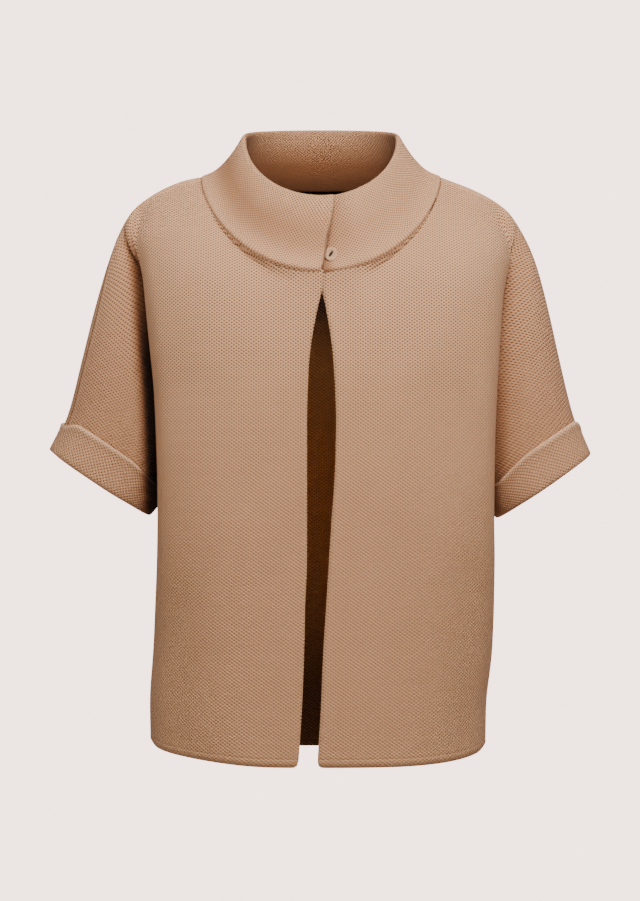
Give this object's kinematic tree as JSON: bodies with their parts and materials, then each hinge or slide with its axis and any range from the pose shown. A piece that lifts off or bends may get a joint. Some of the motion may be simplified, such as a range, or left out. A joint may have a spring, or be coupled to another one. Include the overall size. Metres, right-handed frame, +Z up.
{
  "type": "knitted cape jacket",
  "caption": "Short open-front knitted cape jacket with wide kimono sleeves, turn-up cuffs and a stand-away funnel collar closed by a press stud.",
  "frame": {"origin": "midway between the two shoulder points at the neck seam, where the wearer's shoulders hold the garment up", "axes": "+Z up, the front faces -Y, +X towards the wearer's left"},
  "size_m": [0.5644, 0.247, 0.657],
  "materials": {
    "knit": "fine camel knit with an eyelet texture, matt",
    "collar_knit": "the same knit, double, matt",
    "cuff_knit": "the same knit, turned up, matt",
    "stud": "ecru, semi-matt"
  },
  "bodies": {
    "root": {"back": "knit", "front_right": "knit", "front_left": "knit", "collar": "collar_knit", "cuff_right": "cuff_knit", "cuff_left": "cuff_knit", "button": "stud"}
  },
  "joints": []
}
